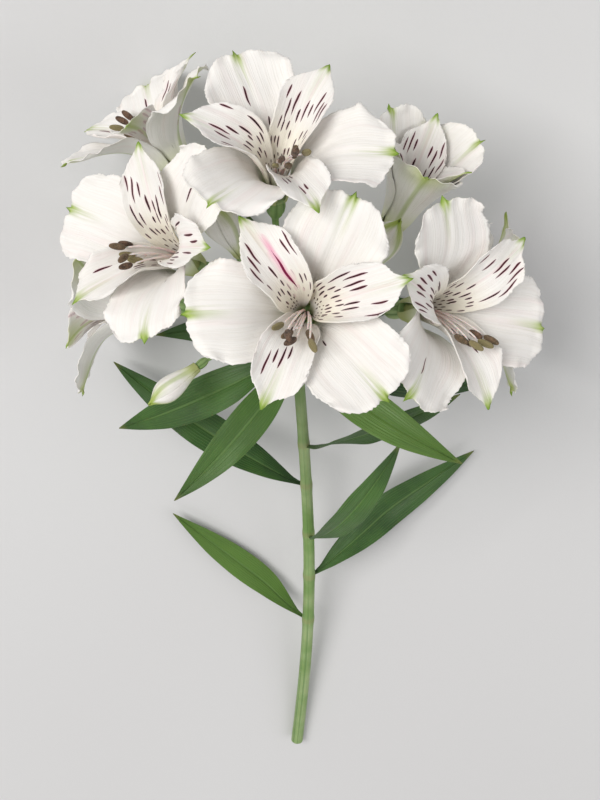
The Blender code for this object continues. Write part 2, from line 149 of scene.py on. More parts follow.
def line_frames(centres):
    """Two directions across a line at each of its points, which turn with it and never twist round it."""
    heads = np.gradient(centres, axis=0)
    heads /= np.linalg.norm(heads, axis=1)[:, None]
    side = np.cross(heads[0], (0.0, 0.0, 1.0))
    if np.linalg.norm(side) < 0.1:
        side = np.array((1.0, 0.0, 0.0))
    sides = []
    for head in heads:
        side = side - head * side.dot(head)
        side = side / np.linalg.norm(side)
        sides.append(side)
    sides = np.array(sides)
    return sides, np.cross(sides, heads)


def tube(name, centres, radii, around, relief=None):
    """A closed tube: a grid wrapped round a line of centres, with its seam and its end poles merged.

    relief gives the girth at each angle and share of the length, as a multiple of the plain one.
    """
    centres, radii = np.array(centres, float), np.array(radii, float)
    piece, across, along = sheet(name, around, len(centres) - 1)
    row = np.rint(along * (len(centres) - 1)).astype(int)
    angle = math.pi * across
    sides, ups = line_frames(centres)
    reach = radii[row] if relief is None else radii[row] * relief(angle, along)
    out = np.cos(angle)[:, None] * sides[row] + np.sin(angle)[:, None] * ups[row]
    lay(piece, centres[row] + reach[:, None] * out)
    bpy.ops.object.mode_set(mode="EDIT")
    bpy.ops.mesh.select_all(action="SELECT")
    bpy.ops.mesh.remove_doubles(threshold=MM / 500)
    bpy.ops.mesh.normals_make_consistent(inside=False)
    bpy.ops.object.mode_set(mode="OBJECT")
    bpy.ops.object.shade_smooth()
    return piece


def fix(piece, node):
    """The piece rides on the object's one body in the place of a CAD node."""
    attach(piece, "root")
    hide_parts(node)


class Finish:
    """A finish made of shader nodes, which its methods add one at a time, and the colour laid so far."""

    def __init__(self, name, ground, gloss, glow=0.0, depth=MM):
        self.material = bpy.data.materials.new(name)
        self.material.use_nodes = True
        self.tree = self.material.node_tree
        self.shader = self.tree.nodes["Principled BSDF"]
        self.colour = ground
        self.shader.inputs["Specular IOR Level"].default_value = gloss
        self.shader.inputs["Subsurface Weight"].default_value = glow
        self.shader.inputs["Subsurface Scale"].default_value = depth

    def put(self, kind, inputs, **settings):
        """A node with its own settings; its inputs are numbers, colours or other nodes' outputs."""
        node = self.tree.nodes.new("ShaderNode" + kind)
        for key, value in settings.items():
            setattr(node, key, value)
        for socket, value in inputs.items():
            if isinstance(value, bpy.types.NodeSocket):
                self.tree.links.new(value, node.inputs[socket])
            else:
                node.inputs[socket].default_value = value
        return node.outputs

    def calc(self, operation, *values):
        return self.put("Math", dict(enumerate(values)), operation=operation)[0]

    def product(self, *values):
        result = values[0]
        for value in values[1:]:
            result = self.calc("MULTIPLY", result, value)
        return result

    def total(self, *parts):
        """The sum of some heights, each given with its weight."""
        result = self.product(*parts[0])
        for height, weight in parts[1:]:
            result = self.calc("MULTIPLY_ADD", height, weight, result)
        return result

    def rise(self, value, low, high):
        """0 up to low, 1 from high, smooth between; it falls instead where high is the lower one."""
        inputs = {"Value": value, "From Min": low, "From Max": high}
        return self.put("MapRange", inputs, interpolation_type="SMOOTHSTEP")[0]

    def within(self, value, zone):
        """It rises between the first two values of a zone and falls between the last two."""
        return self.product(self.rise(value, zone[0], zone[1]), self.rise(value, zone[3], zone[2]))

    def layer(self, amount, under, over):
        """The colour over laid on the colour under by an amount."""
        return self.put("Mix", {0: amount, 6: under, 7: over}, data_type="RGBA")[2]

    def wash(self, over, *amounts):
        """A colour goes over what is laid so far, by the product of its amounts."""
        self.colour = self.layer(self.product(*amounts), self.colour, over)

    def vector(self, x, y, z):
        return self.put("CombineXYZ", {0: x, 1: y, 2: z})[0]

    def noise(self, vector, scale, detail):
        return self.put("TexNoise", {"Vector": vector, "Scale": scale, "Detail": detail})[0]

    def strands(self, across, along, chance, counts, detail):
        """Noise drawn out along a sheet; counts say how often it changes across it and along it."""
        place = self.vector(self.product(across, counts[0]), self.product(along, counts[1]), chance)
        return self.noise(place, 1.0, detail)

    def spot(self):
        """The place in the object's own axes."""
        return self.put("TexCoord", {})["Object"]

    def chart(self):
        """The place across and along the piece's grid, each from 0 to 1."""
        return self.put("SeparateXYZ", {0: self.put("UVMap", {}, uv_map="UVMap")[0]})

    def kept(self, name):
        """A number that the piece keeps at its vertices."""
        return self.put("Attribute", {}, attribute_name=name)["Fac"]

    def kept_three(self, name):
        return self.put("SeparateXYZ", {0: self.put("Attribute", {}, attribute_name=name)["Vector"]})

    def cover(self, height, depth, rough):
        """Colour, relief and roughness go to the shader; depth is the height's whole range in metres."""
        bump = self.put("Bump", {"Height": height, "Distance": depth, "Strength": 1.0})
        self.tree.links.new(self.colour, self.shader.inputs["Base Color"])
        self.tree.links.new(bump[0], self.shader.inputs["Normal"])
        self.tree.links.new(rough, self.shader.inputs["Roughness"])


stalk = Finish("stalk_skin", PALE_GREEN, gloss=0.4, glow=0.08)
stalk_uv = stalk.chart()
stalk_turn = stalk.product(stalk_uv[0], 2 * math.pi)
stalk_spot = stalk.spot()
stalk_patches = stalk.noise(stalk_spot, 55.0, 3.0)
stalk_grain = stalk.noise(stalk_spot, 900.0, 2.0)
stalk_round = stalk.vector(
    stalk.product(stalk.calc("COSINE", stalk_turn), RIB_RING),
    stalk.product(stalk.calc("SINE", stalk_turn), RIB_RING),
    stalk.product(stalk_uv[1], RIB_RUN),
)
stalk_ribs = stalk.noise(stalk_round, 1.0, 4.0)
stalk.wash(FRESH_GREEN, stalk.rise(stalk_patches, 0.35, 0.7))
stalk.wash(RIB_GREEN_AND_GROOVE_SHADE, stalk.rise(stalk_ribs, 0.5, 0.66), 0.6)
# Painted shade: the ovary's grooves, where the skin lies inside its plain girth, are darkened with the rib
# green.
stalk.wash(RIB_GREEN_AND_GROOVE_SHADE, stalk.kept("ovary"), 0.75)
stalk.wash(SCAR_BROWN, stalk.rise(stalk.kept("scar"), 0.45, 1.0), 0.35)
stalk_height = stalk.total((stalk_ribs, 1.0), (stalk_grain, 0.25))
stalk.cover(stalk_height, 0.25 * MM, stalk.rise(stalk_patches, -0.6, 1.6))

pith = Finish("stem_pith", PITH_PALE, gloss=0.3, glow=0.1)
pith_spot = pith.spot()
pith_grain = pith.noise(pith_spot, 2500.0, 3.0)
pith.wash(PITH_RING, pith.rise(pith.noise(pith_spot, 700.0, 2.0), 0.4, 0.65))
pith.cover(pith_grain, 0.3 * MM, pith.rise(pith_grain, -0.5, 1.2))

stem_rows = np.concatenate((CUT_ROWS, SHOOT_ROWS, KNOT_ROWS))
stem_centres = [stem_point(d * MM) for d in stem_rows]
stem_radii = np.array([shoot_radius(d * MM) for d in stem_rows])
stem_radii[:4] *= CUT_SHARES
stem_radii[-1] = 0
stem = tube("stem_stalk", stem_centres, stem_radii, STEM_SIDES,
            lambda angle, along: 1 + RIB_RELIEF * np.cos(7 * angle + 9 * along))
stem_places = vertices(stem)
stem_places[:, 2] = np.maximum(stem_places[:, 2], 0)
stem.data.vertices.foreach_set("co", stem_places.ravel())
mark(stem, "scar", [node_swell(y) for y in stem_places[:, 1] - CUT_END[1]])
stem.data.materials.append(stalk.material)
stem.data.materials.append(pith.material)
for face in stem.data.polygons:
    if face.center.y < CUT_END[1] + 0.05 * MM:
        face.material_index = 1
bpy.ops.object.shade_smooth_by_angle(angle=math.radians(50))
fix(stem, "stem")

# Leaves. Each is one lance-shaped blade, folded a little along its midrib, with a waved edge and veins that
# run side by side to its tip. Five grow up the stem and a whorl of seven spreads right under the umbel.
# They are dark and satin above, paler beneath, and one of the whorl rests flat on the table.


def table(headings, rows):
    """Each row's name, with its other entries under their headings."""
    return {row[0]: dict(zip(headings.split(), row[1:])) for row in rows}


LEAVES = table("at round lean length width droop", (
    ("whorl_leaf_1", 234, 35, 96, 74, 15, 42),
    ("whorl_leaf_2", 232, 88, 112, 80, 16, 26),
    ("whorl_leaf_3", 230, 140, 100, 72, 15, 20),
    ("whorl_leaf_4", 232, 196, 66, 66, 13, 10),
    ("whorl_leaf_5", 230, 232, 104, 76, 15, 22),
    ("whorl_leaf_6", 233, 282, 114, 82, 16, 30),
    ("whorl_leaf_7", 231, 330, 102, 70, 14, 46),
    ("stem_leaf_1", 188, 48, 56, 76, 14, 30),
    ("stem_leaf_2", 166, 262, 58, 94, 16, 30),
    ("stem_leaf_3", 138, 20, 50, 84, 14, 64),
    ("stem_leaf_4", 112, 112, 56, 90, 15, 22),
    ("stem_leaf_5", 84, 248, 54, 78, 13, 20),
))
LEAF_STEPS = 32
LEAF_COLUMNS = 16
LEAF_THICKNESS = 0.45 * MM
LEAF_SOLID = 0.65 * MM
LEAF_GAP = 0.3 * MM
LEAF_FOOT_WIDTH = 2.0 * MM
LEAF_SUNK = 1.2
LEAF_LEVELLING = 0.07
LEAF_FOLD = 0.16
LEAF_WAVE = 0.09
LEAF_RIPPLE = 0.035
LEAF_GROOVE = 0.25 * MM
LANDING_HEIGHT = 7 * MM
SOFT_LANDING = 0.8 * MM
SEED = 5
LEAF_DARK = (0.018, 0.062, 0.012, 1)
LEAF_MID = (0.048, 0.130, 0.022, 1)
LEAF_YOUNG = (0.140, 0.270, 0.035, 1)
LEAF_VEIN = (0.140, 0.250, 0.070, 1)
LEAF_UNDER = (0.130, 0.210, 0.085, 1)
LEAF_TIP = (0.240, 0.260, 0.070, 1)
LEAF_YOUTHS = (0.0, 0.1, 0.25, 0.55)


def leaf_rows(leaf):
    """Centre, sideways direction and upper side's direction at each step from the leaf's foot to its tip."""
    at = leaf["at"] * MM
    axis = stem_heading(at)
    top = (UP - axis * axis.dot(UP)).normalized()
    outward = Quaternion(axis, math.radians(leaf["round"])) @ top
    lean = math.radians(leaf["lean"])
    heading = outward * math.sin(lean) + axis * math.cos(lean)
    place = stem_point(at) + outward * (stem_radius(at) + LEAF_GAP + LEAF_SOLID * 0.6)
    sideways = outward.cross(axis).normalized()
    rows = [(place - outward * LEAF_SUNK * MM, sideways.copy(), sideways.cross(heading).normalized())]
    turn = math.radians(leaf["droop"]) / LEAF_STEPS
    for _ in range(LEAF_STEPS):
        fall = heading.cross(-UP)
        if fall.length > 0.05:
            heading = Quaternion(fall.normalized(), min(turn, fall.length)) @ heading
        if place.z < LANDING_HEIGHT and heading.z < 0:
            heading.z *= 0.6
        heading.normalize()
        place = place + heading * leaf["length"] * MM / LEAF_STEPS
        level = heading.cross(UP).normalized()
        if level.dot(sideways) < 0:
            level = -level
        sideways = sideways.lerp(level, LEAF_LEVELLING)
        sideways = (sideways - heading * sideways.dot(heading)).normalized()
        upper = sideways.cross(heading).normalized()
        rows.append((place.copy(), sideways.copy(), upper if upper.z > 0 else -upper))
    if rows[0][2].dot(rows[1][2]) < 0:
        rows[0] = (rows[0][0], rows[0][1], -rows[0][2])
    return [np.array([row[part] for row in rows]) for part in range(3)]


def landed(points, low):
    """Points near the table are lifted softly to it, so that what leans on it lies flat on it."""
    over = points[:, 2] - low
    points[:, 2] = low + (over + np.sqrt(over ** 2 + SOFT_LANDING ** 2)) / 2
    return points


def thickened(piece, thickness, weights):
    """The sheet becomes a closed blade, thinner where its weight is lower.

    The vertices of one side come first and those of the other after them, in the same order.
    """
    group = piece.vertex_groups.new(name="thick")
    steps = np.rint(np.clip(weights, 0, 1) * 8).astype(int)
    for step in np.unique(steps):
        group.add(np.flatnonzero(steps == step).tolist(), step / 8, "REPLACE")
    shell = piece.modifiers.new("thickness", "SOLIDIFY")
    shell.thickness = thickness
    shell.offset = 0
    shell.vertex_group = "thick"
    bpy.ops.object.modifier_apply(modifier="thickness")
    bpy.ops.object.shade_smooth()


def behind(piece, front):
    """Which vertices of a thickened sheet are on its back, if its front faces the ways given."""
    count = len(front)
    facing = (vertices(piece, "normal") * np.tile(front, (2, 1))).sum(1)
    second = np.arange(count * 2) >= count
    return ~second if facing[:count].mean() < facing[count:].mean() else second


blade = Finish("leaf_blade", LEAF_DARK, gloss=0.45, glow=0.05)
blade_uv = blade.chart()
blade_across = blade.calc("MULTIPLY_ADD", blade_uv[0], 2.0, -1.0)
blade_spot = blade.spot()
leaf_young = blade.kept("young")
blade_patches = blade.noise(blade_spot, 45.0, 3.0)
blade_grain = blade.noise(blade_spot, 1100.0, 2.0)
blade_streaks = blade.strands(blade_across, blade_uv[1], leaf_young, (16.0, 2.2), 3.0)
blade_veins = blade.rise(blade.calc("COSINE", blade.product(blade_across, 44.0)), 0.55, 1.0)
blade_midrib = blade.rise(blade.calc("ABSOLUTE", blade_across), 0.10, 0.02)
blade.wash(LEAF_MID, blade.rise(blade_patches, 0.35, 0.7))
blade.wash(LEAF_YOUNG, leaf_young)
blade.wash(LEAF_DARK, blade.rise(blade_streaks, 0.5, 0.75), 0.4)
blade.wash(LEAF_VEIN, blade_veins, 0.28)
blade.wash(LEAF_VEIN, blade_midrib, 0.55)
blade.wash(LEAF_TIP, blade.rise(blade_uv[1], 0.93, 1.0), 0.7)
blade.wash(LEAF_UNDER, blade.kept("under"), 0.6)
blade_height = blade.total((blade_veins, 0.55), (blade_grain, 0.25), (blade_midrib, -0.8),
                           (blade_streaks, 0.6))
blade.cover(blade_height, 0.22 * MM, blade.rise(blade_streaks, -0.55, 1.5))

for name, leaf in LEAVES.items():
    centre, sideways, upper = leaf_rows(leaf)
    draw = random.Random(f"{SEED}{name}")
    wave = draw.uniform(0, 6)
    piece, across, along = sheet(name + "_blade", LEAF_COLUMNS, LEAF_STEPS)
    row = np.rint(along * LEAF_STEPS).astype(int)
    half = leaf["width"] * MM / 2 * np.sin(math.pi * along ** 0.85) ** 0.9
    half = np.maximum(half, LEAF_FOOT_WIDTH / 2 * (1 - 0.85 * along))
    lift = LEAF_FOLD * np.abs(across) * half
    lift += LEAF_WAVE * half * across ** 2 * np.sin(wave + 10 * along + 2 * across)
    lift += LEAF_RIPPLE * half * across ** 4 * np.sin(2 * wave + 27 * along + 3 * across)
    lift -= LEAF_GROOVE * np.exp(-(across / 0.12) ** 2)
    points = centre[row] + sideways[row] * (across * half)[:, None] + upper[row] * lift[:, None]
    lay(piece, landed(points, LEAF_SOLID / 2))
    thickened(piece, LEAF_THICKNESS, 1 - 0.6 * across ** 4)
    mark(piece, "under", behind(piece, upper[row]))
    mark(piece, "young", draw.choice(LEAF_YOUTHS))
    piece.data.materials.append(blade.material)
    finer = piece.modifiers.new("finer", "SUBSURF")
    finer.levels = 1
    finer.render_levels = 1
    bpy.ops.object.modifier_apply(modifier="finer")
    fix(piece, name)

# Rays. Each is a slender green stalk that springs from the knot, curves up to the light and widens into the
# ribbed ovary under its flower. A bud hangs on a side stalk that leaves its ray part of the way along.
# A ray's direction and its flower's are an azimuth from +Y towards +X and a height above the table.

BLOOMS = table("ray faces length turn open size", (
    ("bloom_1", (7, 58), (2, 63), 48, 27, 1.0, 1.0),
    ("bloom_2", (-43, 24), (-41, 42), 53, 23, 0.95, 0.98),
    ("bloom_3", (60, 31), (64, 49), 50, 9, 1.0, 1.0),
    ("bloom_4", (-6, 22), (4, 36), 65, -7, 0.95, 0.96),
    ("bloom_5", (-82, -18), (-84, 0), 50, 28, 0.95, 1.0),
    ("bloom_6", (82, -18), (84, 0), 50, -28, 0.95, 1.0),
    ("bloom_7", (-36, -17), (-33, 4), 69, 11, 0.9, 0.95),
    ("bloom_8", (38, 6), (19, 24), 52, 14, 0.35, 0.92),
))
BUDS = table("on share ray stalk length size", (
    ("bud_1", "bloom_4", 0.3, (-23, 31), 37, 28, 0.9),
    ("bud_2", "bloom_3", 0.5, (27, 25), 22, 27, 0.86),
    ("bud_3", "bloom_5", 0.4, (-120, 30), 26, 22, 0.7),
))
KNOT = stem_point(STEM_LENGTH)
KNOT_HEADING = stem_heading(STEM_LENGTH - 2 * MM)
GAP = 0.3 * MM
RAY_RADIUS = 1.05 * MM
RAY_STEPS = 5
RAY_ROWS = 36
RAY_SIDES = 20
RAY_SUNK = 1.6 * MM
OVARY_LENGTH = 10 * MM
OVARY_RADIUS = 3.3 * MM
OVARY_SHARES = (0.0, 0.16, 0.36, 0.60, 0.82, 1.0)
OVARY_GIRTHS = (0.42, 0.68, 0.93, 1.0, 0.93, 0.80)
OVARY_ROWS = 20
OVARY_START = RAY_ROWS / (RAY_ROWS + OVARY_ROWS)


def direction(azimuth, elevation):
    a, e = math.radians(azimuth), math.radians(elevation)
    return Vector((math.sin(a) * math.cos(e), math.cos(a) * math.cos(e), math.sin(e)))


def bezier(a, b, c, t):
    return a * (1 - t) ** 2 + b * 2 * t * (1 - t) + c * t ** 2


def stalk_ends(start, away, end, faces, size):
    """The three guide points of a stalk that curves from start to the foot of the ovary below end."""
    foot = end - faces * OVARY_LENGTH * size
    reach = (foot - start).length
    return start, (foot - faces * reach * 0.4).lerp(start + away * reach * 0.45, 0.35), foot


def bloom_place(bloom):
    """Top of the ovary, and the way that the flower faces."""
    return KNOT + direction(*bloom["ray"]) * bloom["length"] * MM, direction(*bloom["faces"])


def ray_ends(bloom):
    end, faces = bloom_place(bloom)
    away = (direction(*bloom["ray"]) * 0.8 + KNOT_HEADING * 0.2).normalized()
    return stalk_ends(KNOT + away * (KNOT_RADIUS + GAP), away, end, faces, bloom["size"])


def bud_place(bud):
    """The side stalk's root beside its ray, the bud's direction, and the bud's foot."""
    ends = ray_ends(BLOOMS[bud["on"]])
    place = bud["share"] * RAY_STEPS
    low = int(place)
    before, after = bezier(*ends, low / RAY_STEPS), bezier(*ends, (low + 1) / RAY_STEPS)
    along = (after - before).normalized()
    heading = direction(*bud["ray"])
    side = (heading - along * heading.dot(along)).normalized()
    rim = RAY_RADIUS * math.sqrt(1 - heading.dot(side) ** 2)
    girth = RAY_RADIUS * (1.0 + 0.12 * low / RAY_STEPS)
    root = before.lerp(after, place - low) + side * (girth + rim + GAP)
    return root, heading, root + (heading * 0.85 + side * 0.15) * bud["stalk"] * MM


def stalk_piece(name, ends, faces, size, top):
    """A stalk and its ribbed ovary as one tube, whose first rows lie inside what it grows from."""
    start, bend, foot = ends
    shares = np.linspace(0, 1, RAY_ROWS)
    centres = [bezier(start, bend, foot, t) for t in shares]
    radii = list(RAY_RADIUS * (1.0 + 0.12 * shares + 0.9 * smooth(0.10, 0, shares)))
    centres.insert(0, start - (centres[1] - start).normalized() * RAY_SUNK)
    radii.insert(0, 0)
    shares = np.linspace(0, 1, OVARY_ROWS)[1:]
    girths = np.interp(shares, OVARY_SHARES, OVARY_GIRTHS)
    for share, girth in zip(shares, girths):
        centres.append(foot + faces * OVARY_LENGTH * size * share)
        radii.append(OVARY_RADIUS * size * girth)
    centres.append(foot + faces * (OVARY_LENGTH * size + top))
    radii.append(0)
    soft = np.array(radii)
    soft[3:-2] = (np.array(radii[2:-3]) + 2 * soft[3:-2] + np.array(radii[4:-1])) / 4
    piece = tube(name, centres, soft, RAY_SIDES + 4, lambda angle, along: 1 + smooth(
        OVARY_START - 0.03, OVARY_START + 0.12, along) * 0.09 * (np.abs(np.cos(3 * angle)) ** 0.6 * 2 - 1.3))
    places = vertices(piece) - CUT_END - np.array(foot)
    way = np.array(faces)
    height = places @ way / (OVARY_LENGTH * size)
    middle = np.clip(height, 0, 1)[:, None] * way * OVARY_LENGTH * size
    girth = np.linalg.norm(places - middle, axis=1) / (OVARY_RADIUS * size)
    plain = np.interp(height, OVARY_SHARES, OVARY_GIRTHS)
    near = np.linalg.norm(places, axis=1) < OVARY_LENGTH * size * 1.4
    # The ovary mark is painted shade: it is 1 in the grooves between the ovary's ribs and 0 on the ribs and
    # off the ovary.
    mark(piece, "ovary", near * smooth(-0.05, 0.25, height) * smooth(0.0, -0.10, girth / plain - 1))
    piece.data.materials.append(stalk.material)
    return piece


for name, bloom in BLOOMS.items():
    ray = name.replace("bloom", "ray")
    piece = stalk_piece(ray + "_stalk", ray_ends(bloom), bloom_place(bloom)[1], bloom["size"], 0.1 * MM)
    fix(piece, ray)

for name, bud in BUDS.items():
    root, heading, foot = bud_place(bud)
    size = 0.75 * bud["size"]
    ends = stalk_ends(root, (foot - root).normalized(), foot, heading, size)
    fix(stalk_piece(name + "_side_stalk", ends, heading, size, 0.2 * MM), name + "_stalk")

# Tepals. Each flower has three broad outer ones with a notched tip and a green point, and three narrower
# pointed inner ones, all grown from one collar on top of the ovary. They are thin, waxy white and faintly
# veined, with crinkled, finely toothed margins; the inner ones are streaked with dark red dashes.

TEPAL_THICKNESS = 0.42 * MM
TEPAL_COLUMNS = 48
TEPAL_ROWS = 64
TEPAL_WRAP = 0.8 * MM
TEPAL_LANDING = 0.2 * MM
ROOT_HEIGHT = 0.6 * MM
MIDRIB_STEPS = 20
CURL_ZONE = (0.08, 0.85)
LOOSE_ZONE = (0.3, 0.8)
TIP_ANGLE = math.radians(60)
NOTCH_WIDTH = 2.4 * MM
GROOVE_WIDTH = 1.3 * MM
HOOK = 1.1 * MM
HOOK_WIDTH = 1.6 * MM
TOOTH = 0.3 * MM
WAVER = 1.0 * MM
BILLOW = 0.9 * MM
FINE_FOLD = 0.06 * MM
COLLAR_HEIGHTS = (-0.3, -0.3, 0.4, 1.4, 2.4, 2.6)
COLLAR_RADII = (0, 2.7, 3.3, 3.8, 4.1, 0)
OUTER_TEPAL = dict(
    length=53 * MM, width=32 * MM, root_width=4.6 * MM, root_radius=3.7 * MM, widest=0.70, taper=1.55,
    point=2.6 * MM, point_width=0.75 * MM, lean=(14, 79), cup=0.75, ruffle=1.7 * MM, crinkle=0.85 * MM,
    groove=0.5 * MM, notch=1.7 * MM, clear=-1, parting=0.28,
)
INNER_TEPAL = dict(
    length=50 * MM, width=21.5 * MM, root_width=2.6 * MM, root_radius=1.9 * MM, widest=0.63, taper=1.9,
    point=4.6 * MM, point_width=1.9 * MM, lean=(10, 71), cup=1.25, ruffle=0.8 * MM, crinkle=0.4 * MM,
    groove=0.25 * MM, notch=0.0, clear=1, parting=0.42,
)
TEPALS = table("form turn extra ahead inner spots", (
    (0, OUTER_TEPAL, 0, -3, 0.0, 0.0, 0.16),
    (1, OUTER_TEPAL, 119, 2, 0.0, 0.0, 0.05),
    (2, OUTER_TEPAL, -119, 2, 0.0, 0.0, 0.05),
    (3, INNER_TEPAL, 57, 0, 0.7 * MM, 1.0, 0.85),
    (4, INNER_TEPAL, -57, 0, 0.7 * MM, 1.0, 0.85),
    (5, INNER_TEPAL, 180, 5, 0.5 * MM, 0.4, 0.30),
))
WAX_WHITE = (0.885, 0.868, 0.845, 1)
WAX_SHADE = (0.83, 0.80, 0.76, 1)
WAX_GLOW = (1.0, 0.85, 0.7)
VEIN_GREY = (0.64, 0.58, 0.48, 1)
CREAM = (0.88, 0.80, 0.50, 1)
BLUSH = (0.86, 0.62, 0.64, 1)
THROAT_OLIVE = (0.33, 0.36, 0.13, 1)
TIP_GREEN = (0.32, 0.44, 0.05, 1)
POINT_GREEN = (0.15, 0.29, 0.02, 1)
BACK_GREEN = (0.50, 0.56, 0.20, 1)
DASH_BROWN = (0.075, 0.030, 0.014, 1)
DASH_DARK = (0.020, 0.003, 0.006, 1)
DASH_RED = (0.070, 0.004, 0.015, 1)
HALO_PINK = (0.78, 0.50, 0.55, 1)
STREAK_MAGENTA = (0.19, 0.004, 0.052, 1)
STREAK_PINK = (0.78, 0.22, 0.42, 1)
LONG_DASHES = dict(columns=5.2, spacing=10.0, reach=4.35, girth=0.33, shift=0.31, zone=(25, 29, 36, 42))
MID_DASHES = dict(columns=5.8, spacing=5.5, reach=2.35, girth=0.25, shift=7.43, zone=(15, 18, 25, 29))
FINE_DASHES = dict(columns=4.8, spacing=3.1, reach=1.30, girth=0.18, shift=3.77, zone=(7, 10, 15, 18))
DASH_SHIFT_ALONG = 0.12
DASH_SHIFT_ASIDE = 0.24
DASH_BEND = 0.4
DASH_FILL = 0.26
STREAKED = ("bloom_1", "bloom_6")
STREAK_ZONE = (19, 25, 29, 37)
STREAK_GIRTH = 0.42
STREAK_BLUSH_ZONE = (20, 26, 36, 44)

wax = Finish("tepal_skin", WAX_WHITE, gloss=0.25, glow=0.02, depth=0.5 * MM)
wax.shader.inputs["Subsurface Radius"].default_value = WAX_GLOW
wax_uv = wax.chart()
wax_across = wax.calc("MULTIPLY_ADD", wax_uv[0], 2.0, -1.0)
wax_off = wax.calc("ABSOLUTE", wax_across)
wax_along = wax_uv[1]
wax_side, wax_rise, wax_half = wax.kept_three("place")
wax_inner, wax_spots, wax_luck = wax.kept_three("habit")
wax_chance = wax.calc("ADD", wax.calc("FLOOR", wax_luck), 0.37)
wax_back = wax.kept("back")
wax_streak = wax.kept("streak")
wax_spot = wax.spot()
wax_middle = wax.calc("ABSOLUTE", wax_side)
wax_cloud = wax.noise(wax_spot, 70.0, 3.0)
wax_grain = wax.noise(wax_spot, 1300.0, 3.0)
wax_fibre = wax.strands(wax_across, wax_along, wax_chance, (15.0, 1.3), 3.0)
wax_folds = wax.strands(wax_across, wax_along, wax_chance, (5.0, 1.1), 2.0)
wax_veins = wax.rise(wax.calc("ABSOLUTE", wax.calc("SUBTRACT", wax_fibre, 0.5)), 0.07, 0.0)
wax_veins = wax.product(wax_veins, wax.rise(wax_along, 0.05, 0.35))
spot_limit = wax.calc("MULTIPLY_ADD", wax_inner, 0.52, 0.40)
spot_core = wax.calc("MULTIPLY_ADD", wax_inner, 0.60, 0.20)


def jitter(place, luck, width):
    """The place moved by luck, from 0 to 1, up to half the width either way."""
    return wax.calc("ADD", place, wax.calc("MULTIPLY_ADD", luck, width, -width / 2))


def dashes(columns, spacing, reach, girth, shift, zone):
    """Dashes in columns that fan out from the claw, one in each cell by chance, and their soft halo.

    Lengths are in millimetres: reach is half the longest one's length and girth half its width. They set in
    between the first two distances up the tepal in zone and end between the other two.
    """
    column_place = wax.calc("MULTIPLY_ADD", wax_across, columns, shift)
    column = wax.calc("FLOOR", column_place)
    start = wax.put("TexWhiteNoise", {"Vector": wax.vector(column, wax_chance, shift)})["Value"]
    row_place = wax.calc("ADD", wax.calc("DIVIDE", wax_rise, spacing), start)
    row = wax.calc("FLOOR", row_place)
    cell = wax.vector(column, row, wax.calc("ADD", wax_chance, shift))
    luck = wax.put("TexWhiteNoise", {"Vector": cell})
    lucky = wax.put("SeparateXYZ", {0: luck["Color"]})
    beyond = wax.calc("SUBTRACT", wax.calc("SUBTRACT", row_place, row), 0.5)
    beyond = jitter(beyond, lucky[1], DASH_SHIFT_ALONG)
    half_length = wax.calc("MULTIPLY_ADD", lucky[2], reach / 2, reach / 2)
    ahead = wax.calc("DIVIDE", wax.product(beyond, spacing), half_length)
    bend = wax.noise(wax.vector(wax.product(wax_rise, 0.2), column, wax_chance), 1.0, 0.0)
    aside = wax.calc("SUBTRACT", wax.calc("SUBTRACT", column_place, column), 0.5)
    aside = jitter(jitter(aside, lucky[0], DASH_SHIFT_ASIDE), bend, DASH_BEND)
    cell_width = wax.product(wax_half, 1 / columns)
    blunt = wax.calc("SUBTRACT", 1.02, wax.product(ahead, ahead, wax.calc("ABSOLUTE", ahead)))
    half_width = wax.calc("MINIMUM", wax.product(cell_width, DASH_FILL), girth)
    half_width = wax.product(wax.calc("MAXIMUM", blunt, 0.02),
                             wax.calc("MULTIPLY_ADD", ahead, 0.25, 1.0), half_width)
    sideways = wax.calc("DIVIDE", wax.product(wax.calc("ABSOLUTE", aside), cell_width), half_width)
    cell_rise = wax.product(wax.calc("SUBTRACT", wax.calc("ADD", row, 0.5), start), spacing)
    cell_off = wax.calc("ABSOLUTE", wax.product(wax.calc("ADD", column, 0.5 - shift), 1 / columns))
    amount = wax.product(wax.within(cell_rise, zone), wax.rise(cell_off, spot_limit, spot_core),
                         wax_spots)
    present = wax.product(wax.calc("LESS_THAN", luck["Value"], amount),
                          wax.calc("LESS_THAN", wax.calc("ABSOLUTE", ahead), 1.0))
    core = wax.product(wax.rise(sideways, 1.2, 0.8), present)
    return core, wax.product(wax.rise(sideways, 3.0, 1.0), present)


# The ground: white wax, with a faint blush, cream in the inner ones' lower half, and veins.
wax.wash(WAX_SHADE, wax.rise(wax_cloud, 0.4, 0.75), 0.35)
wax.wash(BLUSH, wax.rise(wax_folds, 0.48, 0.75), wax.rise(wax_along, 0.2, 0.6), 0.16)
wax.wash(CREAM, wax.within(wax_along, (0.14, 0.3, 0.40, 0.66)), wax_inner, 0.28)
wax.wash(VEIN_GREY, wax_veins, 0.10)
wax.wash(HALO_PINK, wax.rise(wax_middle, 0.9, 0.1),
         wax.within(wax_along, (0.40, 0.62, 0.85, 0.97)), wax_inner, 0.22)

# The greens: keel, tip and point, then the back's broad keel and base, and the throat.
wax.wash(TIP_GREEN, wax.rise(wax_along, 0.60, 1.0), wax.rise(wax_middle, 3.0, 0.2),
         wax.rise(wax_fibre, 0.36, 0.56), wax.calc("MULTIPLY_ADD", wax_inner, -0.6, 1.0), 0.55)
wax.wash(TIP_GREEN, wax.rise(wax_along, wax.calc("MULTIPLY_ADD", wax_inner, 0.09, 0.84), 0.99),
         wax.rise(wax_middle, 2.4, 0.5), 0.9)
wax.wash(POINT_GREEN, wax.rise(wax_along, 0.95, 1.0), wax.rise(wax_middle, 1.4, 0.5), 0.8)
wax.wash(BACK_GREEN, wax.rise(wax_along, 0.58, 1.0), wax.rise(wax_off, 0.8, 0.05), wax_back, 0.75)
wax.wash(TIP_GREEN, wax.rise(wax_middle, 1.3, 0.3), wax_back, 0.5)
wax.wash(BACK_GREEN, wax.rise(wax_along, 0.42, 0.08), wax_back, 0.7)
